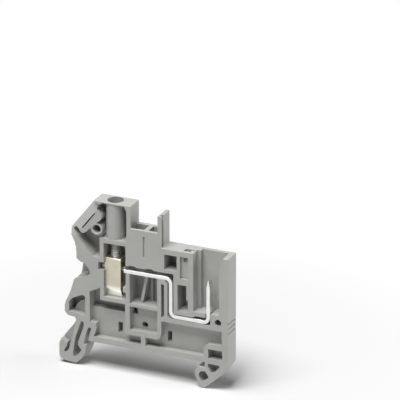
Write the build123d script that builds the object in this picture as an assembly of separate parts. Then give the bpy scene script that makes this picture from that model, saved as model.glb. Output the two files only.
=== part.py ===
from build123d import *
import math
import os

# Feed-through terminal block with one screw clamp and one plug contact, for a 35 mm mounting rail.
# X runs along the block, Z is up and Y goes through its thickness: the open side faces -Y.
# The origin lies on the rail's centre line, level with the top of its brims, halfway through the block.
# All sizes are in millimetres.

# Overall sizes
thickness = 5.2
left_reach = 23.8
right_reach = 24.1
top_z = 40.0
bridge_top_z = 33.9
plug_top_z = 30.0
tall_wall_z = 38.6

# Walls and pocket depths, each depth counted from the open side
closed_wall = 1.3
rib = 1.1
thin_wall = 0.45
shallow_depth = 1.9
faint_depth = 0.7
edge_round = 0.5
edge_break = 0.12
corner_round = 0.2

# Mounting rail that the feet hold
rail_w = 35.0
rail_brim_t = 1.0
rail_gap = 0.1
seat_z = 0.4

# Marker slope above the conductor entry
slope_top_x = -13.5
tip_x = -20.4
tip_z = 31.2
slope_rim_w = 2.25
slope_rim_drop = 1.3
marker_block_w = 3.9
marker_block_start = 1.5
marker_block_end = 9.7
marker_slit_start = 2.7
marker_slit_w = 0.35
marker_slit_length = 5.8

# Peg sockets
ring_x = -12.75
ring_z = 32.15
ring_outer_r = 1.6
ring_hole_r = 1.1
web_socket_r = 0.85
web_socket_z = 7.0
wall_socket_x = 21.3
wall_socket_z = 12.0
wall_socket_r = 0.9

# Clamp: screw, sleeve and the window that holds them
clamp_x = -8.5
screw_r = 1.45
screw_head_r = 1.85
screw_head_h = 2.0
screw_slot_w = 0.7
screw_slot_depth = 0.9
screw_chamfer = 0.25
tube_r = 2.45
access_r = 2.15
running_gap = 0.05
shank_hole_gap = 0.2
window_left_x = -10.8
window_right_x = -4.6
window_floor_z = 13.75
window_top_z = 28.7
shoulder_t = 1.2
sleeve_length = 4.5
sleeve_width = 4.2
sleeve_height = 10.8
sleeve_t = 0.55
sleeve_bend_h = 2.4
sleeve_bend_in = 0.95
sleeve_lap_groove = 0.12
lug_w = 0.8
lug_z = 15.9
lug_h = 1.4

# Conductor entry
entry_z = 19.1
entry_r = 1.95
entry_neck_x = -12.8
entry_mouth_z = 20.4
entry_mouth_r = 3.2
entry_mouth_x = -16.5

# Current bar
bar_t = 1.0
bar_width = 3.55
bar_setback = 0.15
bar_upper_z = 21.75
bar_lower_z = 11.45
bar_leg_x = 8.0
bar_bend_r = 0.9
bar_shoulder_x = -5.2
tongue_width = 2.4
tongue_end_x = -12.0
pin_x = 18.5
pin_top_z = 23.0
pin_taper_h = 2.0
pin_width = 2.2
pin_point = 0.2
bar_head_room = 1.05
bar_side_gap = 0.35

# Bridge shafts behind the front plate
plate_left_x = -4.2
plate_right_x = 5.5
front_plate_t = 0.7
bridge_left_x = -3.1
bridge_wide = 3.5
bridge_divider = 1.2
tall_wall_t = 1.1
tall_groove_w = 1.0
tall_groove_start = 0.4
tall_groove_depth = 0.5
plate_slot_x = 0.3
plate_slot_w = 0.6
plate_slot_z = 26.6
plate_slot_h = 5.6

# Plug shaft
plug_left_x = 14.4
plug_step_x = 15.4
plug_right_x = 21.6
plug_floor_z = 14.0
plug_lead_in_h = 2.7
plug_lead_in_w = 1.1
plug_side_depth = 2.7
square_cell_x = 6.3
square_cell_w = 3.5
square_cell_z = 24.2
square_cell_h = 4.2
recess_x = 10.7
recess_w = 2.3
recess_z = 22.4
recess_h = 6.1
stepped_cell_x = 10.0
stepped_cell_w = 2.9
stepped_cell_z = 13.4
stepped_cell_h = 7.3
stepped_cell_step = 3.3
latch_slot_x = 11.4
latch_slot_depth = 1.5
latch_slot_drop = 3.0

# Cells under the clamp and the bridge shafts
cell_left_x = -14.9
cell_right_x = 4.3
cell_mid_x = -3.5
upper_cell_z = 13.1
middle_cell_z = 5.7
middle_cell_top_z = 12.3
base_top_z = 2.0
base_cell_z = 4.3
deep_band_z = 9.7
side_socket_x = 7.0
side_socket_w = 1.25
side_socket_z = 3.6
side_socket_h = 2.9
narrow_slot_x = 5.4
narrow_slot_w = 0.8
narrow_slot_z = 10.8
narrow_slot_h = 9.2
low_rib_x = 0.75
low_rib_w = 0.6
right_cell_top_z = 9.7
right_cell_x = 22.4
hook_box_w = 3.9
hook_box_z = 1.6
hook_box_h = 2.7
side_groove_z = 9.1
side_groove_pitch = 1.35
side_groove_w = 0.45
side_groove_depth = 0.15

front_y = -thickness / 2
back_y = thickness / 2
deep_y = back_y - closed_wall
shallow_y = front_y + shallow_depth
beyond = 1.0


def prism(outline, start_y=front_y - beyond, end_y=back_y + beyond):
    """A prism along Y over an outline of (x, z) points."""
    face = make_face(Polyline(*[(x, start_y, z) for x, z in outline], close=True))
    return extrude(face, amount=end_y - start_y, dir=(0, 1, 0))


def block(x0, x1, z0, z1, start_y=front_y - beyond, end_y=back_y + beyond):
    """A box between two corners of the XZ plane and two depths."""
    return prism([(x0, z0), (x1, z0), (x1, z1), (x0, z1)], start_y, end_y)


def round_y(x, z, radius, start_y, end_y):
    """A cylinder along Y."""
    middle = (start_y + end_y) / 2
    return Pos(x, middle, z) * Rot(90, 0, 0) * Cylinder(radius, end_y - start_y)


def round_z(radius, z0, z1):
    """A cylinder along the clamp's vertical axis."""
    return Pos(clamp_x, 0, (z0 + z1) / 2) * Cylinder(radius, z1 - z0)


# The slope's direction, from its tip up to the flat top, and the way into the block from it
slope_length = math.hypot(slope_top_x - tip_x, top_z - tip_z)
along = ((slope_top_x - tip_x) / slope_length, (top_z - tip_z) / slope_length)
inward = (along[1], -along[0])


def on_slope(distance, depth):
    """The (x, z) point a distance up the slope from its tip and a depth below its face."""
    return (tip_x + along[0] * distance + inward[0] * depth,
            tip_z + along[1] * distance + inward[1] * depth)


# Outline of the moulding, from the top of the slope down the left side, round the feet and back
brim_x = rail_w / 2 + rail_gap
hook_z = -rail_brim_t
bridge_right_x = plate_right_x - tall_wall_t
slot_top_z = seat_z + 3.7

left_side = [
    (slope_top_x, top_z), (tip_x, tip_z), (tip_x + 0.1, 30.2), (tip_x + 0.6, 29.1), (tip_x + 1.3, 27.7),
    (tip_x + 1.7, 26.2), (tip_x + 1.8, 24.7), (tip_x + 1.8, 23.2), (tip_x + 1.5, 20.0), (tip_x + 1.2, 18.1),
    (tip_x + 0.9, 16.6), (-20.4, 13.7), (-21.2, 11.8), (-21.8, 10.6), (-22.1, 9.2),
    (-22.1, 7.7), (-21.2, 6.7), (-19.2, 6.5),
]
snap_foot = [
    (-18.9, 5.7), (-19.4, 4.8), (-left_reach + 0.8, 0.3), (-left_reach, -1.6), (-left_reach, -4.9),
    (-left_reach + 0.4, -5.7), (-left_reach + 1.4, -6.2), (-19.0, -6.4), (-17.4, -5.0),
    (-16.5, -3.3), (-16.0, -1.7), (-16.0, hook_z + 0.1), (-16.7, hook_z + 0.4),
]
brim_slot = [
    (-16.6, seat_z - 0.4), (-15.6, slot_top_z - 0.3), (-15.1, slot_top_z + 0.2),
    (-14.6, slot_top_z - 0.1), (-15.5, seat_z),
]
fixed_hook = [
    (brim_x, seat_z), (brim_x, hook_z), (brim_x - 1.8, hook_z), (brim_x - 2.7, -2.0), (brim_x - 2.8, -3.7),
    (brim_x - 1.7, -6.1), (brim_x - 1.1, -6.75), (brim_x - 0.5, -6.9), (brim_x + 0.2, -6.6), (brim_x + 4.8, -2.4),
]
right_side = [
    (right_reach, seat_z), (right_reach, plug_top_z),
    (plate_right_x, plug_top_z), (plate_right_x, tall_wall_z),
    (bridge_right_x, tall_wall_z), (bridge_right_x, bridge_top_z),
    (bridge_left_x, bridge_top_z), (bridge_left_x, top_z),
]
outline = Polyline(*[(x, z) for x, z in left_side + snap_foot + brim_slot + fixed_hook + right_side], close=True)
side_face = make_face(outline)
side_face = fillet(side_face.vertices(), corner_round)
housing = extrude(Plane.XZ.offset(-front_y) * side_face, amount=-thickness)
outline_edges = housing.edges().group_by(Axis.Y)
housing = chamfer(outline_edges[0] + outline_edges[-1], edge_break)

# Pocket behind the marker slope, open to the room round the screw tube
tube_room_z = window_top_z + shoulder_t
marker_pocket = [
    (tip_x + 0.8, tip_z - 0.4), on_slope(0.5, 0.7), on_slope(1.3, 0.8), on_slope(marker_block_start + 0.4, slope_rim_w),
    on_slope(marker_block_end, slope_rim_w), on_slope(marker_block_end + 0.4, 1.9), on_slope(slope_length, 1.6),
    (-10.9, top_z - 0.4), (plate_left_x - 0.8, top_z - 0.4), (plate_left_x - 0.1, top_z - 1.7),
    (plate_left_x - 0.1, tube_room_z), (window_left_x - rib, tube_room_z),
    (window_left_x - rib, 24.2), (-14.0, 24.4),
]
housing -= prism(marker_pocket, end_y=deep_y)
marker_block = [
    on_slope(marker_block_start + 0.4, slope_rim_w - 1.0), on_slope(marker_block_start + 0.1, slope_rim_w + 0.3),
    on_slope(marker_block_start, marker_block_w - 0.9), on_slope(marker_block_start + 0.3, marker_block_w - 0.4),
    on_slope(marker_block_start + 0.9, marker_block_w - 0.1), on_slope(marker_block_start + 3.3, marker_block_w + 0.1),
    on_slope(marker_block_end - 1.5, marker_block_w + 0.8), on_slope(marker_block_end - 0.5, marker_block_w + 0.5),
    on_slope(marker_block_end - 0.1, marker_block_w), on_slope(marker_block_end, marker_block_w - 0.8),
    on_slope(marker_block_end + 0.1, slope_rim_w - 1.0),
]
housing += prism(marker_block, front_y, back_y)
housing += round_y(ring_x, ring_z, ring_outer_r, front_y, back_y)
housing -= round_y(ring_x, ring_z, ring_hole_r, front_y - beyond, deep_y)
slit_end = marker_slit_start + marker_slit_length
marker_slit = [
    on_slope(marker_slit_start, slope_rim_w), on_slope(marker_slit_start, slope_rim_w + marker_slit_w),
    on_slope(slit_end, slope_rim_w + marker_slit_w), on_slope(slit_end, slope_rim_w),
]
housing -= prism(marker_slit, end_y=shallow_y)
rim_plane = Plane(origin=(tip_x - along[0] * beyond, front_y, tip_z - along[1] * beyond),
                  x_dir=(inward[0], 0, inward[1]), z_dir=(along[0], 0, along[1]))
rim_bevel = make_face(rim_plane * Polyline((-beyond, -beyond), (slope_rim_w, -beyond), (slope_rim_w, 0),
                                           (0, slope_rim_drop), (-beyond, slope_rim_drop), close=True))
housing -= extrude(rim_bevel, amount=slope_length + beyond, dir=(along[0], 0, along[1]))

# Screw tube with its bore, the screwdriver's way in above the screw head
head_z = tube_room_z + running_gap
head_top_z = head_z + screw_head_h
housing += round_z(tube_r, tube_room_z, top_z)
housing -= round_z(screw_head_r + running_gap, tube_room_z, head_top_z + rib)
housing -= round_z(access_r, head_top_z + rib, top_z + beyond)

# Clamp window, with the sleeve's guide lug and the hole for the screw's shank
clamp_floor_y = back_y - thin_wall
housing -= block(window_left_x, window_right_x, window_floor_z, window_top_z, end_y=clamp_floor_y)
housing += block(window_right_x - lug_w, window_right_x, lug_z, lug_z + lug_h, front_y, clamp_floor_y)
housing -= round_z(screw_r + shank_hole_gap, window_top_z - beyond, tube_room_z + beyond)
bar_top_z = bar_upper_z + bar_t / 2
housing -= block(tongue_end_x - bar_side_gap, window_left_x, bar_upper_z - bar_t / 2 - bar_side_gap / 2,
                 bar_top_z + bar_head_room - 0.1, end_y=deep_y)

# Conductor entry: a notch in front of the closed wall and a funnel that narrows to a round bore into the window
entry_notch = [
    (tip_x + 1.95, 23.2), (tip_x + 2.3, 22.8), (tip_x + 3.1, 22.3), (tip_x + 3.8, 22.1), (tip_x + 3.8, 18.4),
    (tip_x + 2.9, 18.0), (tip_x + 1.5, 17.5), (tip_x + 1.05, 17.0), (-left_reach, 17.0), (-left_reach, 23.2),
]
housing -= prism(entry_notch, end_y=clamp_floor_y)
mouth = Plane(origin=(entry_mouth_x, 0, entry_mouth_z), z_dir=(1, 0, 0)) * Circle(entry_mouth_r)
neck = Plane(origin=(entry_neck_x, 0, entry_z), z_dir=(1, 0, 0)) * Circle(entry_r)
outer = Plane(origin=(entry_mouth_x - 3 * beyond, 0, entry_mouth_z - 0.2), z_dir=(1, 0, 0)) * Circle(entry_mouth_r + 0.1)
funnel = loft([mouth, neck]) + loft([outer, mouth])
funnel -= block(entry_mouth_x - 4 * beyond, entry_neck_x + beyond, 0, top_z, clamp_floor_y, back_y + beyond)
housing -= funnel
entry_length = window_left_x - entry_neck_x + beyond
housing -= (Pos(entry_neck_x + entry_length / 2 - beyond / 2, 0, entry_z) * Rot(0, 90, 0)
            * Cylinder(entry_r, entry_length))

# Channel for the current bar, open towards the clamp window
leg_left_x = bar_leg_x - bar_t / 2 - bar_side_gap
leg_right_x = bar_leg_x + bar_t / 2 + bar_side_gap
low_top_z = bar_lower_z + bar_t / 2 + bar_side_gap
low_floor_z = bar_lower_z - bar_t / 2 - rail_gap
upper_floor_z = bar_upper_z - bar_t / 2
pin_left_x = pin_x - bar_t / 2 - bar_side_gap / 2
pin_right_x = pin_x + bar_t / 2 + bar_side_gap / 2
bar_channel = [
    (window_right_x - beyond, upper_floor_z), (leg_left_x - bar_bend_r, upper_floor_z),
    (leg_left_x, upper_floor_z - bar_bend_r), (leg_left_x, low_floor_z + 0.7),
    (leg_left_x + 0.7, low_floor_z), (pin_right_x, low_floor_z), (pin_right_x, plug_floor_z + beyond),
    (pin_left_x, plug_floor_z + beyond), (pin_left_x, low_top_z + 0.5), (plug_left_x + 0.6, low_top_z + 0.5),
    (plug_left_x - 0.3, low_top_z), (leg_right_x, low_top_z), (leg_right_x, bar_top_z + bar_head_room),
    (window_right_x - beyond, bar_top_z + bar_head_room),
]
housing -= prism(bar_channel, end_y=deep_y)

# Bridge shafts behind the front plate, down to the current bar
bridge_start_y = front_y + front_plate_t
bridge_floor_z = bar_top_z + bar_head_room - 0.3
second_bridge_x = bridge_left_x + bridge_wide + bridge_divider
for x0, x1 in ((bridge_left_x, bridge_left_x + bridge_wide), (second_bridge_x, bridge_right_x)):
    housing -= block(x0, x1, bridge_floor_z, top_z + beyond, bridge_start_y, deep_y)
for middle_x in (bridge_left_x + 0.3, second_bridge_x + 0.5):
    notch_z = bar_top_z + bar_head_room
    housing -= prism([(middle_x - 1.2, notch_z - rail_gap), (middle_x - 0.9, notch_z + 0.3),
                      (middle_x + 0.9, notch_z + 0.3), (middle_x + 1.2, notch_z - rail_gap)], end_y=deep_y)
housing -= block(plate_right_x - tall_groove_depth, plate_right_x + beyond, plug_top_z, tall_wall_z + beyond,
                 front_y + tall_groove_start, front_y + tall_groove_start + tall_groove_w)
housing -= block(plate_slot_x, plate_slot_x + plate_slot_w, plate_slot_z, plate_slot_z + plate_slot_h,
                 end_y=front_y + front_plate_t / 2)

# Plug shaft, open at the top, with a lead-in on its right and a shallower channel on its left
plug_shaft = [
    (plug_step_x, plug_floor_z), (plug_right_x, plug_floor_z), (plug_right_x, plug_top_z - plug_lead_in_h),
    (plug_right_x + plug_lead_in_w, plug_top_z), (plug_right_x + plug_lead_in_w, plug_top_z + beyond),
    (plug_step_x, plug_top_z + beyond),
]
housing -= prism(plug_shaft, end_y=deep_y)
housing -= block(plug_left_x, plug_step_x + rail_gap, plug_floor_z, plug_top_z + beyond,
                 end_y=front_y + plug_side_depth)
latch_y = front_y + front_plate_t
housing -= block(latch_slot_x, plug_left_x - rib, plug_top_z - latch_slot_drop, plug_top_z + beyond,
                 latch_y, latch_y + latch_slot_depth)
housing -= block(latch_slot_x, plug_left_x + rail_gap, plug_top_z - latch_slot_drop, plug_top_z + beyond,
                 latch_y + latch_slot_depth - rail_gap * 4, latch_y + latch_slot_depth)

# Cells between the plug shaft and the bridge shafts
housing -= block(square_cell_x, square_cell_x + square_cell_w, square_cell_z, square_cell_z + square_cell_h,
                 end_y=clamp_floor_y)
housing -= block(recess_x, recess_x + recess_w, recess_z, recess_z + recess_h, end_y=front_y + faint_depth)
stepped_right_x = stepped_cell_x + stepped_cell_w
stepped_top_z = stepped_cell_z + stepped_cell_h
housing -= prism([(stepped_cell_x, stepped_cell_z), (stepped_right_x, stepped_cell_z),
                  (stepped_right_x, stepped_cell_z + stepped_cell_step),
                  (stepped_right_x - 0.4, stepped_cell_z + stepped_cell_step),
                  (stepped_right_x - 0.4, stepped_top_z), (stepped_cell_x, stepped_top_z)], end_y=clamp_floor_y)
housing -= block(narrow_slot_x, narrow_slot_x + narrow_slot_w, narrow_slot_z, narrow_slot_z + narrow_slot_h,
                 end_y=clamp_floor_y)

# Upper middle cell with its slanted rib and a low rib on its floor
housing -= block(cell_mid_x, cell_right_x, upper_cell_z, upper_floor_z, end_y=clamp_floor_y)
slanted_rib = [(-1.4, upper_cell_z), (-0.6, upper_cell_z), (1.0, upper_floor_z), (0.2, upper_floor_z)]
housing += prism(slanted_rib, shallow_y, back_y)
housing += block(low_rib_x, low_rib_x + low_rib_w, upper_cell_z, upper_floor_z, deep_y, back_y)

# Lower middle cell with its socket and its deep corner
housing -= block(cell_mid_x, cell_right_x, middle_cell_z, middle_cell_top_z, end_y=shallow_y)
housing -= block(cell_mid_x, -2.1, deep_band_z, middle_cell_top_z, end_y=deep_y)
housing -= round_y(0, web_socket_z, web_socket_r, front_y - beyond, deep_y)

# Left cell under the clamp, with a deep band along its top and a deep column beside the window
left_cell = [
    (cell_left_x, window_floor_z - rib), (cell_left_x, 6.1), (-13.2, 5.7), (-13.0, 4.6),
    (-13.8, base_top_z), (-0.35, base_top_z), (-0.35, base_cell_z), (cell_mid_x - 1.3, base_cell_z),
    (cell_mid_x - 1.3, window_floor_z - rib),
]
housing -= prism(left_cell, end_y=shallow_y)
deep_band = [
    (cell_left_x, deep_band_z), (cell_mid_x - 1.3, deep_band_z), (cell_mid_x - 1.3, window_floor_z - rib),
    (window_left_x - rib, window_floor_z - rib), (window_left_x - rib, 16.0), (-13.2, 15.3),
    (cell_left_x, 14.5),
]
housing -= prism(deep_band, end_y=deep_y)

# Right cell over the fixed hook
right_cell = [
    (0.9, base_top_z), (17.3, base_top_z), (17.3, 4.2), (17.7, 5.1), (18.6, 5.6), (right_cell_x, 5.7),
    (right_cell_x, right_cell_top_z), (cell_right_x + rib, right_cell_top_z), (cell_right_x + rib, 6.2),
    (cell_right_x + 0.7, 4.8), (cell_right_x - 0.3, base_cell_z), (0.9, base_cell_z),
]
housing -= prism(right_cell, end_y=shallow_y)
for side in (-1, 1):
    middle_x = side * side_socket_x
    housing -= block(middle_x - side_socket_w / 2, middle_x + side_socket_w / 2, side_socket_z,
                     side_socket_z + side_socket_h, end_y=clamp_floor_y)
housing -= round_y(wall_socket_x, wall_socket_z, wall_socket_r, front_y - beyond, deep_y)

# Cell behind the left shoulder, with its quarter-round web
left_shoulder = [
    (-20.9, 8.0), (-20.8, 10.6), (-20.1, 11.6), (-17.2, 13.1), (-16.5, 13.0), (-16.2, 12.5),
    (-16.2, 7.3), (-18.2, 7.7),
]
housing -= prism(left_shoulder, end_y=deep_y)
quarter_web = round_y(-16.2, 7.3, 3.9, front_y + shallow_depth, back_y)
housing += quarter_web & block(-20.1, -16.0, 7.2, 11.2, front_y, back_y)

# Fixed hook: box cell, through triangle and through loop
housing -= block(brim_x + 1.0, brim_x + 1.0 + hook_box_w, hook_box_z, hook_box_z + hook_box_h,
                 end_y=front_y + 2 * shallow_depth - 1.1)
housing -= prism([(brim_x + 0.9, 0.2), (brim_x + 3.9, 0.2), (brim_x + 4.2, -0.3), (brim_x + 2.4, -2.3),
                  (brim_x + 1.8, -2.2), (brim_x + 0.9, -0.7)])
housing -= prism([(brim_x - 1.1, -2.3), (brim_x, -2.1), (brim_x + 0.6, -2.7), (brim_x + 1.1, -3.6),
                  (brim_x + 0.6, -4.3), (brim_x - 0.2, -4.9), (brim_x - 0.8, -5.0), (brim_x - 1.5, -4.0),
                  (brim_x - 1.7, -3.1)])

# Snap foot: slot that lets it bend, web and wedge
flex_slot = [
    (-17.2, 5.8), (-17.7, 5.1), (-18.2, 3.4), (-19.1, 0.9), (-19.5, -1.4), (-19.9, -4.1), (-19.6, -4.7),
    (-18.9, -4.5), (-18.3, -3.9), (-17.4, -2.5), (-18.3, -1.2), (-18.4, -0.5), (-17.8, 1.2), (-16.8, 4.0),
    (-16.6, 5.0), (-16.8, 5.6),
]
housing -= prism(flex_slot)
heel_web = [
    (-left_reach + 4.6, 4.5), (-left_reach + 3.6, 0.4), (-left_reach + 2.3, -1.1), (-left_reach + 1.3, -0.7),
    (-left_reach + 0.3, 0.1), (-left_reach - beyond, 2.0), (-left_reach + 3.6, 5.2),
]
housing -= prism(heel_web, end_y=shallow_y)
heel_wedge = [
    (-left_reach + 3.6, 0.4), (-left_reach + 3.2, -0.9), (-left_reach + 2.9, -2.6), (-left_reach + 2.3, -3.5),
    (-left_reach + 1.7, -3.8), (-left_reach + 1.4, -3.4), (-left_reach + 2.2, -1.9), (-left_reach + 2.3, -1.0),
]
housing -= prism(heel_wedge)

# Fine grooves across the right end
for step in range(3):
    groove_z = side_groove_z + step * side_groove_pitch
    housing -= block(right_reach - side_groove_depth, right_reach + beyond, groove_z, groove_z + side_groove_w)

# Broken edges round the openings of the open side
open_face = housing.faces().filter_by(Axis.Y).sort_by(Axis.Y)[0]
for loop in open_face.inner_wires():
    at_front = [edge for edge in housing.edges() if edge.bounding_box().max.Y < front_y + 0.001]
    rim = [edge for edge in at_front if any((edge.center() - other.center()).length < 0.001 for other in loop.edges())]
    housing = chamfer(rim, edge_break)

# Clamp screw: slotted head in the tube, shank through the sleeve, tip on the current bar
tip_z_screw = bar_top_z + running_gap
screw = round_z(screw_r, tip_z_screw, head_z) + round_z(screw_head_r, head_z, head_top_z)
screw = chamfer(screw.edges().filter_by(GeomType.CIRCLE).group_by(Axis.Z)[0], screw_chamfer)
screw = chamfer(screw.edges().filter_by(GeomType.CIRCLE).group_by(Axis.Z)[-1], screw_chamfer)
screw -= Pos(clamp_x, 0, head_top_z) * Box(3 * screw_head_r, screw_slot_w, 2 * screw_slot_depth)

# Clamp sleeve: a strip folded into a ring round the bar, doubled where the screw threads through
sleeve_z = window_floor_z + running_gap
sleeve_top_z = sleeve_z + sleeve_height
half_y = sleeve_width / 2
inner_y = half_y - sleeve_t


def ring_section(half, low, bend_z, high, pull):
    """A face across X for the folded ring: straight sides, and a lower part that leans inwards."""
    x = clamp_x - sleeve_length / 2
    return make_face(Polyline((x, -half, high), (x, half, high), (x, half, bend_z), (x, half - pull, low),
                              (x, -half + pull, low), (x, -half, bend_z), close=True))


outer_ring = ring_section(half_y, sleeve_z, sleeve_z + sleeve_bend_h, sleeve_top_z, sleeve_bend_in)
inner_ring = ring_section(inner_y, sleeve_z + sleeve_t, sleeve_z + sleeve_bend_h + sleeve_t / 4,
                          sleeve_top_z - 2 * sleeve_t, sleeve_bend_in - sleeve_t / 4)
sleeve = extrude(outer_ring - inner_ring, amount=sleeve_length, dir=(1, 0, 0))
long_edges = sleeve.edges().filter_by(Axis.X)
outer_edges = [edge for edge in long_edges if abs(edge.center().Y) > half_y - 0.01]
sleeve = fillet(outer_edges, edge_round * 0.7)
lap_z = sleeve_top_z - sleeve_t
sleeve -= Pos(clamp_x, -half_y, lap_z) * Box(2 * sleeve_length, 2 * sleeve_lap_groove, sleeve_lap_groove)
sleeve -= round_z(screw_r + running_gap, sleeve_top_z - 2 * sleeve_t - beyond, sleeve_top_z + beyond)

# Current bar: one bent strip with a narrow tongue in the sleeve and a pointed pin in the plug shaft
half_t = bar_t / 2
outer_r = bar_bend_r + bar_t
upper_side = FilletPolyline((tongue_end_x, front_y, bar_upper_z + half_t),
                            (bar_leg_x + half_t, front_y, bar_upper_z + half_t),
                            (bar_leg_x + half_t, front_y, bar_lower_z + half_t),
                            (pin_x - half_t, front_y, bar_lower_z + half_t),
                            (pin_x - half_t, front_y, pin_top_z), radius=[outer_r, bar_bend_r, bar_bend_r])
lower_side = FilletPolyline((tongue_end_x, front_y, bar_upper_z - half_t),
                            (bar_leg_x - half_t, front_y, bar_upper_z - half_t),
                            (bar_leg_x - half_t, front_y, bar_lower_z - half_t),
                            (pin_x + half_t, front_y, bar_lower_z - half_t),
                            (pin_x + half_t, front_y, pin_top_z), radius=[bar_bend_r, outer_r, outer_r])
strip_face = make_face(Curve() + [upper_side, Line(upper_side @ 1, lower_side @ 1), lower_side,
                                  Line(lower_side @ 0, upper_side @ 0)])
strip = extrude(strip_face, amount=bar_width, dir=(0, 1, 0)).moved(Location((0, bar_setback, 0)))
for sign in (-1, 1):
    edge_y = sign * tongue_width / 2
    far_y = sign * thickness
    strip -= block(tongue_end_x - beyond, bar_shoulder_x, bar_upper_z - bar_t, bar_top_z + bar_t,
                   min(edge_y, far_y), max(edge_y, far_y))
strip -= block(pin_x - bar_t, pin_x + bar_t, plug_floor_z, pin_top_z + beyond,
               front_y + bar_setback + pin_width, back_y)
taper_z = pin_top_z - pin_taper_h
for sign in (-1, 1):
    strip -= prism([(pin_x + sign * half_t, taper_z), (pin_x + sign * pin_point / 2, pin_top_z + 0.01),
                    (pin_x + sign * bar_t, pin_top_z + 0.01), (pin_x + sign * bar_t, taper_z)])

# Write one file for each piece
os.makedirs("parts", exist_ok=True)
pieces = {"housing": housing, "clamp_screw": screw, "clamp_sleeve": sleeve, "current_bar": strip}
for name, piece in pieces.items():
    export_step(piece, f"parts/{name}.step")
    print(name, "solids", len(piece.solids()), "volume", round(piece.volume, 2))
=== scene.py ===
"""Dresses one feed-through terminal block and sets it on a pale floor under soft light.

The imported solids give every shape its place. The housing is shown through a merged copy with smooth curved
walls, the current bar and the clamp sleeve through copies with softened edges, and the clamp screw through a
slotted head and a threaded shank of its own. Lengths are in metres, and angles kept as fields in degrees.
"""
import logging
import math
from dataclasses import dataclass
from enum import Enum

import bmesh
import bpy
import numpy as np
from mathutils import Matrix, Vector

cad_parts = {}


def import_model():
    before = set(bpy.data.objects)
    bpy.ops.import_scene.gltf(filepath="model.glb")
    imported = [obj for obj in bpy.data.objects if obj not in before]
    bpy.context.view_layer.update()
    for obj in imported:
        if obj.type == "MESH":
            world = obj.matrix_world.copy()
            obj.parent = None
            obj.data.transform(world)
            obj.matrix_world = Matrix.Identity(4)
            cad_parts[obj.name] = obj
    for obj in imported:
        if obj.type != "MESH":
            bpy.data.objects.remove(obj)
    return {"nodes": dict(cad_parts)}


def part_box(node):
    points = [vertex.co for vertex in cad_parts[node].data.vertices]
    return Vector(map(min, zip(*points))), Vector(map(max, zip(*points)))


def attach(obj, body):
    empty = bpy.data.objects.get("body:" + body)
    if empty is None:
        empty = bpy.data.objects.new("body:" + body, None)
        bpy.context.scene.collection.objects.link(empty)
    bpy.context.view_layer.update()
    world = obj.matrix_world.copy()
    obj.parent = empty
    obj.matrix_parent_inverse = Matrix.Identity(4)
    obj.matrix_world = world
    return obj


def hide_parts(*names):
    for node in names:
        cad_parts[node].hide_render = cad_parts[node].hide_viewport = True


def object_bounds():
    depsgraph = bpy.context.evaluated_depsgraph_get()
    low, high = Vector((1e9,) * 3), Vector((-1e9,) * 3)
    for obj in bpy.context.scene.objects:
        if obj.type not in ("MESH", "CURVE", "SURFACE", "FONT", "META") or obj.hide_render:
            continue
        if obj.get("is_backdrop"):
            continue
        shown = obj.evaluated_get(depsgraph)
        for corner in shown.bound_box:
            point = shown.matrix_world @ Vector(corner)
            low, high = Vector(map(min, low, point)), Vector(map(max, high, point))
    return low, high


LOG = logging.getLogger("terminal_block")

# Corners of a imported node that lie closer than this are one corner
MERGE_DISTANCE = 1e-6
# Faces that turn by less than this, in degrees, lie in one plane
FLAT_ANGLE = 0.4
WHITE = (1.0, 1.0, 1.0, 1.0)

Colour = tuple[float, float, float]
Point = tuple[float, float, float]


class Slot(Enum):
    """The material slots."""

    HOUSING = "housing_plastic"
    SCREW = "screw_steel"
    SLEEVE = "sleeve_steel"
    BAR = "tinned_bar"


class Body(Enum):
    """The rigid bodies that pieces ride on."""

    HOUSING = "housing"
    SCREW = "screw"
    SLEEVE = "sleeve"


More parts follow.
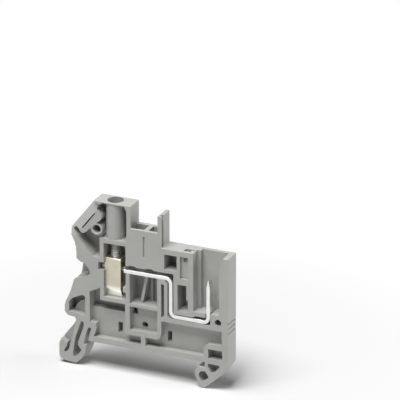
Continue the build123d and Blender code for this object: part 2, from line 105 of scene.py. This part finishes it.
class NodeTree:
    """A small helper that adds and joins shader nodes in one tree."""

    def __init__(self, tree: bpy.types.NodeTree) -> None:
        """Keeps the tree to work on."""
        self.tree = tree

    def add(self, kind: str, **values: object) -> bpy.types.Node:
        """Adds a node and sets its sockets and properties.

        Args:
            kind: The node's type name.
            **values: Property names, or socket names with spaces written as underscores.

        Returns:
            The new node.
        """
        node = self.tree.nodes.new(kind)
        for name, value in values.items():
            socket = node.inputs.get(name.replace("_", " "))
            if socket is not None:
                socket.default_value = value
            else:
                setattr(node, name, value)
        return node

    def join(self, start: bpy.types.NodeSocket, end: bpy.types.NodeSocket) -> None:
        """Links an output socket to an input socket."""
        self.tree.links.new(start, end)

    def place_group(self, group: bpy.types.NodeTree, **values: float) -> bpy.types.Node:
        """Places a node group and sets its number inputs.

        Args:
            group: The group.
            **values: Input names with spaces written as underscores.

        Returns:
            The group node.
        """
        node = self.add("ShaderNodeGroup", node_tree=group)
        for name, value in values.items():
            node.inputs[name.replace("_", " ")].default_value = value
        return node

    def blend(self, mask: bpy.types.NodeSocket, dark: Colour, light: Colour) -> bpy.types.NodeSocket:
        """Blends two colours by a mask.

        Args:
            mask: The mask, 0 for the dark colour and 1 for the light one.
            dark: The dark colour.
            light: The light colour.

        Returns:
            The colour's socket.
        """
        tint = self.add("ShaderNodeMix", data_type="RGBA")
        tint.inputs["A"].default_value = (*dark, 1.0)
        tint.inputs["B"].default_value = (*light, 1.0)
        self.join(mask, tint.inputs["Factor"])
        return tint.outputs["Result"]

    def spread(self, mask: bpy.types.NodeSocket, low: float, high: float) -> bpy.types.NodeSocket:
        """Spreads a mask between two values.

        Args:
            mask: The mask, from 0 to 1.
            low: The value at 0.
            high: The value at 1.

        Returns:
            The value's socket.
        """
        scale = self.add("ShaderNodeMapRange", To_Min=low, To_Max=high)
        self.join(mask, scale.inputs["Value"])
        return scale.outputs["Result"]

    def emboss(self, height: bpy.types.NodeSocket, strength: float, depth: float) -> bpy.types.NodeSocket:
        """Turns a height into a bumped normal.

        Args:
            height: The height, from 0 to 1.
            strength: The bump's strength.
            depth: The height's full depth.

        Returns:
            The normal's socket.
        """
        bump = self.add("ShaderNodeBump", Strength=strength, Distance=depth)
        self.join(height, bump.inputs["Height"])
        return bump.outputs["Normal"]


def open_group(name: str, inputs: dict[str, float],
               outputs: tuple[str, ...]) -> tuple[NodeTree, bpy.types.Node, bpy.types.Node]:
    """Starts a shader node group with a vector input, number inputs and number outputs.

    Args:
        name: The group's name.
        inputs: Each number input with its default value.
        outputs: The names of the number outputs.

    Returns:
        The helper on the group's tree, its input node and its output node.
    """
    tree = bpy.data.node_groups.new(name, "ShaderNodeTree")
    tree.interface.new_socket("Vector", in_out="INPUT", socket_type="NodeSocketVector")
    for key, value in inputs.items():
        tree.interface.new_socket(key, in_out="INPUT", socket_type="NodeSocketFloat").default_value = value
    for key in outputs:
        tree.interface.new_socket(key, in_out="OUTPUT", socket_type="NodeSocketFloat")
    helper = NodeTree(tree)
    return helper, helper.add("NodeGroupInput"), helper.add("NodeGroupOutput")


def build_grain_group() -> bpy.types.NodeTree:
    """Builds the group for the skin of a moulded or plated surface.

    The mottle is a broad noise stretched to a mask, and the height is a fine noise.

    Returns:
        The node group.
    """
    helper, start, end = open_group(
        "surface_grain", {"Mottle Scale": 260.0, "Grain Scale": 5200.0}, ("Mottle", "Height"))
    broad = helper.add("ShaderNodeTexNoise", Detail=3.0, Roughness=0.55)
    fine = helper.add("ShaderNodeTexNoise", Detail=2.0, Roughness=0.5)
    stretch = helper.add("ShaderNodeMapRange", From_Min=0.3, From_Max=0.7)
    helper.join(start.outputs["Vector"], broad.inputs["Vector"])
    helper.join(start.outputs["Vector"], fine.inputs["Vector"])
    helper.join(start.outputs["Mottle Scale"], broad.inputs["Scale"])
    helper.join(start.outputs["Grain Scale"], fine.inputs["Scale"])
    helper.join(broad.outputs["Fac"], stretch.inputs["Value"])
    helper.join(stretch.outputs["Result"], end.inputs["Mottle"])
    helper.join(fine.outputs["Fac"], end.inputs["Height"])
    return helper.tree


def build_drawn_group() -> bpy.types.NodeTree:
    """Builds the group for the fine lines that rolling and turning leave in metal.

    The lines are noise on coordinates that a mapping in front of the group has squeezed along one axis.

    Returns:
        The node group.
    """
    helper, start, end = open_group("drawn_lines", {"Line Scale": 900.0}, ("Lines", "Height"))
    noise = helper.add("ShaderNodeTexNoise", Detail=4.0, Roughness=0.65)
    stretch = helper.add("ShaderNodeMapRange", From_Min=0.25, From_Max=0.75)
    helper.join(start.outputs["Vector"], noise.inputs["Vector"])
    helper.join(start.outputs["Line Scale"], noise.inputs["Scale"])
    helper.join(noise.outputs["Fac"], stretch.inputs["Value"])
    helper.join(stretch.outputs["Result"], end.inputs["Lines"])
    helper.join(noise.outputs["Fac"], end.inputs["Height"])
    return helper.tree


def open_material(name: str) -> tuple[bpy.types.Material, NodeTree, bpy.types.Node]:
    """Starts a material with its one shader.

    Args:
        name: The material's name.

    Returns:
        The material, the helper on its tree and its shader.
    """
    material = bpy.data.materials.new(name)
    material.use_nodes = True
    return material, NodeTree(material.node_tree), material.node_tree.nodes["Principled BSDF"]


@dataclass(frozen=True)
class MouldedPolyamide:
    """Grey polyamide straight from the mould: satin, with a faint flow mottle and a fine skin."""

    light: Colour = (0.392, 0.392, 0.372)
    dark: Colour = (0.362, 0.362, 0.345)
    smoothest: float = 0.40
    roughest: float = 0.52
    specular: float = 0.45
    mottle_scale: float = 240.0
    grain_scale: float = 5200.0
    grain_strength: float = 0.35
    grain_depth: float = 0.000004

    def build(self, grain: bpy.types.NodeTree) -> bpy.types.Material:
        """Builds the material.

        Args:
            grain: The surface grain group.

        Returns:
            The material.
        """
        material, helper, shader = open_material("grey_polyamide")
        shader.inputs["Specular IOR Level"].default_value = self.specular
        place = helper.add("ShaderNodeTexCoord")
        skin = helper.place_group(grain, Mottle_Scale=self.mottle_scale, Grain_Scale=self.grain_scale)
        helper.join(place.outputs["Object"], skin.inputs["Vector"])
        mottle = skin.outputs["Mottle"]
        normal = helper.emboss(skin.outputs["Height"], self.grain_strength, self.grain_depth)
        helper.join(helper.blend(mottle, self.dark, self.light), shader.inputs["Base Color"])
        helper.join(helper.spread(mottle, self.smoothest, self.roughest), shader.inputs["Roughness"])
        helper.join(normal, shader.inputs["Normal"])
        return material


@dataclass(frozen=True)
class PlatedMetal:
    """Plated sheet or turned metal: bright, with soft clouding and lines drawn along one axis.

    A piece can name a height below which a painted highlight brightens its colour and smooths its roughness.
    """

    name: str
    light: Colour
    dark: Colour
    smoothest: float
    roughest: float
    squeeze: tuple[float, float, float]
    line_scale: float = 900.0
    line_strength: float = 0.4
    line_depth: float = 0.000003
    cloud_scale: float = 420.0
    # Painted highlight: below this height the colour is brightened and the roughness made smoother, over a
    # short fade
    painted_highlight_below: float | None = None
    painted_highlight_fade: float = 0.0006
    painted_highlight_colour: Colour = (0.99, 0.98, 0.94)
    painted_highlight_roughness: float = 0.24

    def build(self, grain: bpy.types.NodeTree, drawn: bpy.types.NodeTree) -> bpy.types.Material:
        """Builds the material.

        Args:
            grain: The surface grain group, used for the clouding.
            drawn: The drawn lines group.

        Returns:
            The material.
        """
        material, helper, shader = open_material(self.name)
        shader.inputs["Metallic"].default_value = 1.0
        place = helper.add("ShaderNodeTexCoord")
        along = helper.add("ShaderNodeMapping", Scale=self.squeeze)
        cloud = helper.place_group(grain, Mottle_Scale=self.cloud_scale)
        lines = helper.place_group(drawn, Line_Scale=self.line_scale)
        helper.join(place.outputs["Object"], along.inputs["Vector"])
        helper.join(place.outputs["Object"], cloud.inputs["Vector"])
        helper.join(along.outputs["Vector"], lines.inputs["Vector"])
        colour = helper.blend(cloud.outputs["Mottle"], self.dark, self.light)
        roughness = helper.spread(lines.outputs["Lines"], self.smoothest, self.roughest)
        normal = helper.emboss(lines.outputs["Height"], self.line_strength, self.line_depth)
        # Painted highlight below one height, standing in for the reflection on a bent foot
        if self.painted_highlight_below is not None:
            colour, roughness = self.paint_highlight(helper, place, colour, roughness)
        helper.join(colour, shader.inputs["Base Color"])
        helper.join(roughness, shader.inputs["Roughness"])
        helper.join(normal, shader.inputs["Normal"])
        return material

    def paint_highlight(self, helper: NodeTree, place: bpy.types.Node, colour: bpy.types.NodeSocket,
               roughness: bpy.types.NodeSocket) -> tuple[bpy.types.NodeSocket, bpy.types.NodeSocket]:
        """Paints a highlight: a brighter colour and a smoother roughness below one height, with a short fade.

        Args:
            helper: The material's tree.
            place: The texture coordinate node.
            colour: The plating's colour.
            roughness: The plating's roughness.

        Returns:
            The new colour and the new roughness.
        """
        split = helper.add("ShaderNodeSeparateXYZ")
        mask = helper.add("ShaderNodeMapRange", From_Min=self.painted_highlight_below + self.painted_highlight_fade,
                          From_Max=self.painted_highlight_below - self.painted_highlight_fade)
        # The painted highlight's colour, mixed in by the height mask
        bright = helper.add("ShaderNodeMix", data_type="RGBA")
        bright.inputs["B"].default_value = (*self.painted_highlight_colour, 1.0)
        sleek = helper.add("ShaderNodeMix", data_type="FLOAT")
        sleek.inputs["B"].default_value = self.painted_highlight_roughness
        helper.join(place.outputs["Object"], split.inputs["Vector"])
        helper.join(split.outputs["Z"], mask.inputs["Value"])
        for mix, plain in ((bright, colour), (sleek, roughness)):
            helper.join(mask.outputs["Result"], mix.inputs["Factor"])
            helper.join(plain, mix.inputs["A"])
        return bright.outputs["Result"], sleek.outputs["Result"]


TINNED_STRIP = PlatedMetal(
    "tinned_strip", light=(0.86, 0.86, 0.85), dark=(0.78, 0.78, 0.77), smoothest=0.26, roughest=0.40,
    squeeze=(1.0, 1.0, 0.2))
# The sleeve's foot, below 16.5 mm, carries a painted highlight
PLATED_SLEEVE = PlatedMetal(
    "plated_sleeve", light=(0.60, 0.565, 0.455), dark=(0.55, 0.52, 0.42), smoothest=0.42, roughest=0.55,
    squeeze=(1.0, 1.0, 0.12), painted_highlight_below=0.0165)
PLATED_SCREW = PlatedMetal(
    "plated_screw", light=(0.43, 0.43, 0.405), dark=(0.36, 0.36, 0.34), smoothest=0.48, roughest=0.60,
    squeeze=(1.0, 1.0, 3.0))


def place_object(name: str, data: bpy.types.ID) -> bpy.types.Object:
    """Makes an object and links it to the scene.

    Args:
        name: The object's name.
        data: Its mesh, light or camera.

    Returns:
        The object.
    """
    thing = bpy.data.objects.new(name, data)
    bpy.context.scene.collection.objects.link(thing)
    return thing


def shade_smooth(mesh: bpy.types.Mesh) -> None:
    """Shades every face of a mesh smooth, up to the edges marked sharp."""
    mesh.polygons.foreach_set("use_smooth", np.ones(len(mesh.polygons), bool))


def round_edges(piece: bpy.types.Object, width: float, angle: float) -> None:
    """Rounds the edges of a piece with a bevel of two segments.

    Args:
        piece: The object.
        width: The rounding's width.
        angle: The least turn that counts as an edge, in degrees.
    """
    rounding = piece.modifiers.new("edge_rounding", "BEVEL")
    rounding.width, rounding.segments = width, 2
    rounding.limit_method, rounding.angle_limit = "ANGLE", math.radians(angle)
    rounding.harden_normals = True


def open_copy(node: bpy.types.Object) -> bmesh.types.BMesh:
    """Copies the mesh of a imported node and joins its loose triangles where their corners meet.

    Args:
        node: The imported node.

    Returns:
        The joined shell, still open to changes.
    """
    shell = bmesh.new()
    shell.from_mesh(node.data)
    bmesh.ops.remove_doubles(shell, verts=shell.verts, dist=MERGE_DISTANCE)
    return shell


def close_copy(shell: bmesh.types.BMesh, name: str) -> bpy.types.Object:
    """Makes an object of a joined shell, shaded smooth.

    Args:
        shell: The joined shell, which is freed.
        name: The object's name.

    Returns:
        The object.
    """
    mesh = bpy.data.meshes.new(name)
    shell.to_mesh(mesh)
    shell.free()
    shade_smooth(mesh)
    return place_object(name, mesh)


def softened_copy(node: bpy.types.Object, name: str, width: float, angle: float) -> bpy.types.Object:
    """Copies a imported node, makes the triangles in one plane one face and rounds the sharp edges.

    Args:
        node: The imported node.
        name: The copy's name.
        width: The rounding's width.
        angle: The least turn that counts as an edge, in degrees.

    Returns:
        The copy.
    """
    shell = open_copy(node)
    bmesh.ops.dissolve_limit(shell, angle_limit=math.radians(FLAT_ANGLE), verts=shell.verts,
                             edges=shell.edges, use_dissolve_boundaries=False)
    piece = close_copy(shell, name)
    round_edges(piece, width, angle)
    return piece


def merged_copy(node: bpy.types.Object, name: str, angle: float) -> bpy.types.Object:
    """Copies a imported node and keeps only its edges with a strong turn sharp.

    Args:
        node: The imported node.
        name: The copy's name.
        angle: The least turn that counts as an edge, in degrees.

    Returns:
        The copy.
    """
    shell = open_copy(node)
    for edge in shell.edges:
        edge.smooth = edge.is_manifold and edge.calc_face_angle(0.0) < math.radians(angle)
    return close_copy(shell, name)


def finish_piece(piece: bpy.types.Object, material: bpy.types.Material, slot: Slot, body: Body,
                 *nodes: str) -> None:
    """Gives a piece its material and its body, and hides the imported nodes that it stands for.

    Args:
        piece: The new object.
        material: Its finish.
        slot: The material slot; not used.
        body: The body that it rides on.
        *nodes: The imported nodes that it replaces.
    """
    piece.data.materials.clear()
    piece.data.materials.append(material)
    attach(piece, body.value)
    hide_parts(*nodes)
    LOG.info("%s: %d vertices", piece.name, len(piece.data.vertices))


def skin_rings(name: str, points: np.ndarray) -> bpy.types.Object:
    """Makes a closed skin from rings of points, with a pole at each end.

    Ring i is joined to ring i + 1 and each ring to itself; the first and the last ring close on their mean.

    Args:
        name: The object's name.
        points: An array of rings, points and three coordinates.

    Returns:
        The object.
    """
    rings, count = points.shape[:2]
    poles = np.stack([points[0].mean(0), points[-1].mean(0)])
    vertices = np.concatenate([points.reshape(-1, 3), poles])
    i, k = np.meshgrid(np.arange(rings - 1), np.arange(count), indexing="ij")
    after = (k + 1) % count
    quads = np.stack([i * count + k, i * count + after, (i + 1) * count + after, (i + 1) * count + k], -1)
    step = np.arange(count)
    turn = (step + 1) % count
    last = (rings - 1) * count
    low = np.stack([turn, step, np.full(count, rings * count)], -1)
    high = np.stack([last + step, last + turn, np.full(count, rings * count + 1)], -1)
    mesh = bpy.data.meshes.new(name)
    mesh.from_pydata(vertices.tolist(), [], quads.reshape(-1, 4).tolist() + low.tolist() + high.tolist())
    mesh.validate()
    return place_object(name, mesh)


@dataclass
class Housing:
    """The one moulding: body, feet, screw tube and ribs."""

    node: bpy.types.Object
    edge_angle: float = 26.0

    def build(self, material: bpy.types.Material) -> None:
        """Shows the moulding in its finish."""
        piece = merged_copy(self.node, "moulded_housing", self.edge_angle)
        finish_piece(piece, material, Slot.HOUSING, Body.HOUSING, "housing")


@dataclass
class CurrentBar:
    """The bent strip from the clamp to the contact pin."""

    node: bpy.types.Object
    edge_width: float = 0.00009
    edge_angle: float = 30.0

    def build(self, material: bpy.types.Material) -> None:
        """Shows the strip with the soft edges of a stamping."""
        piece = softened_copy(self.node, "bent_current_bar", self.edge_width, self.edge_angle)
        finish_piece(piece, material, Slot.BAR, Body.HOUSING, "current_bar")


@dataclass
class ClampSleeve:
    """The folded ring that lifts the conductor against the bar."""

    node: bpy.types.Object
    edge_width: float = 0.00005
    edge_angle: float = 30.0

    def build(self, material: bpy.types.Material) -> None:
        """Shows the ring with the soft edges of a stamping."""
        piece = softened_copy(self.node, "folded_clamp_sleeve", self.edge_width, self.edge_angle)
        finish_piece(piece, material, Slot.SLEEVE, Body.SLEEVE, "clamp_sleeve")


@dataclass
class ClampScrew:
    """The slotted screw: a turned head and a threaded shank.

    The flat share is the part of the thread's wave that is cut flat at its root, and as much at its crest.
    """

    axis_x: float
    tip_z: float
    top_z: float
    head_height: float = 0.002
    head_radius: float = 0.00185
    slot_width: float = 0.0007
    slot_depth: float = 0.0009
    edge_width: float = 0.00012
    edge_angle: float = 40.0
    crest_radius: float = 0.00145
    root_radius: float = 0.0012
    pitch: float = 0.0005
    flat_share: float = 0.12
    thread_fade: float = 0.0004
    thread_end: float = 0.0008
    neck_length: float = 0.0009
    taper_length: float = 0.0003
    tip_narrowing: float = 0.0002
    sunk_in_head: float = 0.0002
    around: int = 64
    per_turn: int = 12
    bow_points: int = 29
    gap_points: int = 3

    def shank(self) -> bpy.types.Object:
        """Builds the threaded shank.

        On a grid of angle a and height z, the radius is the root plus the thread's depth times a triangle
        wave of z / pitch - a / turn, cut flat at its ends. The depth fades out at the tip and below the head,
        the neck under the head has the crest's radius, and the tip narrows.

        Returns:
            The shank's object.
        """
        low, high = self.tip_z, self.top_z - self.head_height + self.sunk_in_head
        turns = (high - low) / self.pitch
        z = np.linspace(low, high, int(turns * self.per_turn) + 1)[:, None]
        a = np.linspace(0, 2 * math.pi, self.around, endpoint=False)[None, :]
        wave = np.abs(((z / self.pitch - a / (2 * math.pi)) % 1.0) * 2 - 1)
        wave = np.clip((wave - self.flat_share) / (1 - 2 * self.flat_share), 0, 1)
        begun = np.clip((z - low) / self.thread_fade, 0, 1)
        ended = np.clip((high - self.thread_end - z) / self.thread_fade, 0, 1)
        neck = np.clip((z - high + self.neck_length) / self.taper_length, 0, 1)
        depth = (self.crest_radius - self.root_radius) * np.maximum(wave * begun * ended, neck)
        narrowing = self.tip_narrowing * np.clip(1 - (z - low) / self.taper_length, 0, 1)
        radius = self.root_radius + depth - narrowing
        points = np.stack([self.axis_x + radius * np.cos(a), radius * np.sin(a), z + 0 * a], -1)
        return skin_rings("threaded_shank", points)

    def head(self) -> bpy.types.Object:
        """Builds the slotted head: a round wall, two half-moon tops and the slot's floor between them.

        The points lie on a circle in three rings, at the underside, the slot's floor and the top. Their
        angles make two bows, which carry the half-moons, and two gaps, where the slot comes out.

        Returns:
            The head's object.
        """
        half = math.asin(self.slot_width / 2 / self.head_radius)
        bow = np.linspace(half, math.pi - half, self.bow_points)
        gap = np.linspace(math.pi - half, math.pi + half, self.gap_points + 2)[1:-1]
        angles = np.concatenate([bow, gap, bow + math.pi, gap + math.pi])
        count, second = len(angles), self.bow_points + self.gap_points
        x, y = self.axis_x + self.head_radius * np.cos(angles), self.head_radius * np.sin(angles)
        heights = (self.top_z - self.head_height, self.top_z - self.slot_depth, self.top_z)
        vertices = np.concatenate([np.stack([x, y, np.full(count, h)], -1) for h in heights])
        faces = [[k, (k + 1) % count, count + (k + 1) % count, count + k] for k in range(count)]
        faces.append(list(range(count))[::-1])
        for start in (0, second):
            bowed = range(start, start + self.bow_points)
            faces += [[count + k, count + k + 1, 2 * count + k + 1, 2 * count + k] for k in bowed[:-1]]
            faces.append([2 * count + k for k in bowed])
            faces.append([count + bowed[-1], count + bowed[0], 2 * count + bowed[0], 2 * count + bowed[-1]])
        slot_rim = [*range(self.bow_points - 1, second + 1), *range(second + self.bow_points - 1, count), 0]
        faces.append([count + k for k in slot_rim])
        used = sorted({k for face in faces for k in face})
        order = {k: n for n, k in enumerate(used)}
        mesh = bpy.data.meshes.new("slotted_head")
        mesh.from_pydata(vertices[used].tolist(), [], [[order[k] for k in face] for face in faces])
        mesh.validate()
        piece = place_object("slotted_head", mesh)
        round_edges(piece, self.edge_width, self.edge_angle)
        return piece

    def build(self, material: bpy.types.Material) -> None:
        """Builds both parts of the screw in their finish.

        Args:
            material: The screw's finish.
        """
        for piece in (self.shank(), self.head()):
            shade_smooth(piece.data)
            finish_piece(piece, material, Slot.SCREW, Body.SCREW, "clamp_screw")


@dataclass(frozen=True)
class Softbox:
    """A square soft lamp, with its power in watts."""

    name: str
    place: Point
    width: float
    power: float

    def hang(self, target: Point) -> None:
        """Hangs the lamp with its face turned to a target.

        Args:
            target: The place that it lights.
        """
        data = bpy.data.lights.new(self.name, "AREA")
        data.shape, data.size, data.energy = "SQUARE", self.width, self.power
        lamp = place_object(self.name, data)
        lamp.location = self.place
        aim = Vector(target) - Vector(self.place)
        lamp.rotation_euler = aim.to_track_quat("-Z", "Y").to_euler()


def seen_directly(helper: NodeTree) -> bpy.types.NodeSocket:
    """Adds a mask that is 1 for camera, glossy and transmission rays and 0 for diffuse bounces.

    Args:
        helper: The tree of the floor or the world.

    Returns:
        The mask's socket.
    """
    path = helper.add("ShaderNodeLightPath")
    mask = path.outputs["Is Camera Ray"]
    for ray in ("Is Glossy Ray", "Is Transmission Ray"):
        either = helper.add("ShaderNodeMath", operation="MAXIMUM")
        helper.join(mask, either.inputs[0])
        helper.join(path.outputs[ray], either.inputs[1])
        mask = either.outputs[0]
    return mask


@dataclass
class Studio:
    """The pale floor, the soft light and the camera.

    Seen directly, the floor has its own tone near the block and turns plain white between two distances from
    the origin. The camera stands back along its viewing direction and aside by two steps, right and up.
    """

    floor_z: float
    floor_half: float = 6.0
    floor_tone: float = 0.715
    floor_bounce: float = 0.75
    white_from: float = 0.025
    white_at: float = 0.09
    ambient: float = 0.02
    softboxes: tuple[Softbox, ...] = (
        Softbox("top_softbox", (-0.041, -0.192, 0.582), 0.36, 5.3),
        Softbox("right_softbox", (0.551, 0.179, 0.17), 0.30, 1.5),
    )
    lit_place: Point = (0.0, 0.0, 0.015)
    azimuth: float = 24.27
    elevation: float = 21.93
    distance: float = 1.20827
    aside: tuple[float, float] = (0.01381, 0.03836)
    focal_pixels: float = 4683.55
    picture_width: float = 400.0
    sensor_width: float = 36.0
    nearest: float = 0.05
    farthest: float = 20.0

    def floor(self) -> None:
        """Lays the floor: a wide pale sheet that keeps the object's shadow and is plain white further out."""
        half, z = self.floor_half, self.floor_z
        mesh = bpy.data.meshes.new("studio_floor")
        mesh.from_pydata([(-half, -half, z), (half, -half, z), (half, half, z), (-half, half, z)], [],
                         [(0, 1, 2, 3)])
        mesh.materials.append(self.floor_finish())
        sheet = place_object("studio_floor", mesh)
        sheet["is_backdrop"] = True

    def floor_finish(self) -> bpy.types.Material:
        """Builds the floor's material.

        Diffuse bounces meet a pale matt sheet. Other rays meet one that fades to plain white away from the
        block, by the distance from the origin.

        Returns:
            The material.
        """
        material = bpy.data.materials.new("pale_floor")
        material.use_nodes = True
        material.node_tree.nodes.clear()
        helper = NodeTree(material.node_tree)
        near = helper.add("ShaderNodeBsdfDiffuse", Color=(self.floor_tone,) * 3 + (1.0,))
        far = helper.add("ShaderNodeEmission", Strength=1.0)
        place = helper.add("ShaderNodeTexCoord")
        away = helper.add("ShaderNodeVectorMath", operation="LENGTH")
        fade = helper.add("ShaderNodeMapRange", From_Min=self.white_from, From_Max=self.white_at)
        seen = helper.add("ShaderNodeMixShader")
        unseen = helper.add("ShaderNodeBsdfDiffuse", Color=(self.floor_bounce,) * 3 + (1.0,))
        mix = helper.add("ShaderNodeMixShader")
        out = helper.add("ShaderNodeOutputMaterial")
        helper.join(place.outputs["Object"], away.inputs[0])
        helper.join(away.outputs["Value"], fade.inputs["Value"])
        helper.join(fade.outputs["Result"], seen.inputs["Fac"])
        helper.join(near.outputs[0], seen.inputs[1])
        helper.join(far.outputs[0], seen.inputs[2])
        helper.join(seen_directly(helper), mix.inputs["Fac"])
        helper.join(unseen.outputs[0], mix.inputs[1])
        helper.join(seen.outputs[0], mix.inputs[2])
        helper.join(mix.outputs[0], out.inputs["Surface"])
        return material

    def world(self) -> None:
        """Sets an even ambient light, with plain white for the camera and for reflections."""
        world = bpy.data.worlds.new("studio_air")
        bpy.context.scene.world = world
        world.use_nodes = True
        world.node_tree.nodes.clear()
        helper = NodeTree(world.node_tree)
        dim = helper.add("ShaderNodeBackground", Color=WHITE, Strength=self.ambient)
        white = helper.add("ShaderNodeBackground", Color=WHITE, Strength=1.0)
        mix = helper.add("ShaderNodeMixShader")
        out = helper.add("ShaderNodeOutputWorld")
        helper.join(seen_directly(helper), mix.inputs["Fac"])
        helper.join(dim.outputs[0], mix.inputs[1])
        helper.join(white.outputs[0], mix.inputs[2])
        helper.join(mix.outputs[0], out.inputs["Surface"])

    def camera(self) -> None:
        """Places the camera: it looks along one fixed direction and stands aside by the photo's framing."""
        a, e = math.radians(self.azimuth), math.radians(self.elevation)
        back = Vector((math.sin(a) * math.cos(e), -math.cos(a) * math.cos(e), math.sin(e)))
        right = Vector((math.cos(a), math.sin(a), 0.0))
        up = back.cross(right)
        data = bpy.data.cameras.new("studio_camera")
        data.sensor_width = self.sensor_width
        data.lens = self.focal_pixels / self.picture_width * self.sensor_width
        data.clip_start, data.clip_end = self.nearest, self.farthest
        camera = place_object("studio_camera", data)
        turn = Matrix((right, up, back)).transposed()
        place = back * self.distance + right * self.aside[0] + up * self.aside[1]
        camera.matrix_world = Matrix.Translation(place) @ turn.to_4x4()
        bpy.context.scene.camera = camera

    def build(self) -> None:
        """Sets the whole stage."""
        bpy.context.scene.view_settings.view_transform = "Standard"
        self.floor()
        self.world()
        for softbox in self.softboxes:
            softbox.hang(self.lit_place)
        self.camera()


def main() -> None:
    """Loads the frame, builds every piece in order and sets the stage."""
    logging.basicConfig(level=logging.INFO, format="%(name)s: %(message)s")
    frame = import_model()
    before = [list(corner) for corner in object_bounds()]
    nodes = frame["nodes"]
    grain, drawn = build_grain_group(), build_drawn_group()
    Housing(nodes["housing"]).build(MouldedPolyamide().build(grain))
    CurrentBar(nodes["current_bar"]).build(TINNED_STRIP.build(grain, drawn))
    ClampSleeve(nodes["clamp_sleeve"]).build(PLATED_SLEEVE.build(grain, drawn))
    low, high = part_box("clamp_screw")
    ClampScrew((low.x + high.x) / 2, low.z, high.z).build(PLATED_SCREW.build(grain, drawn))
    Studio(before[0][2]).build()


if __name__ == "__main__":
    main()
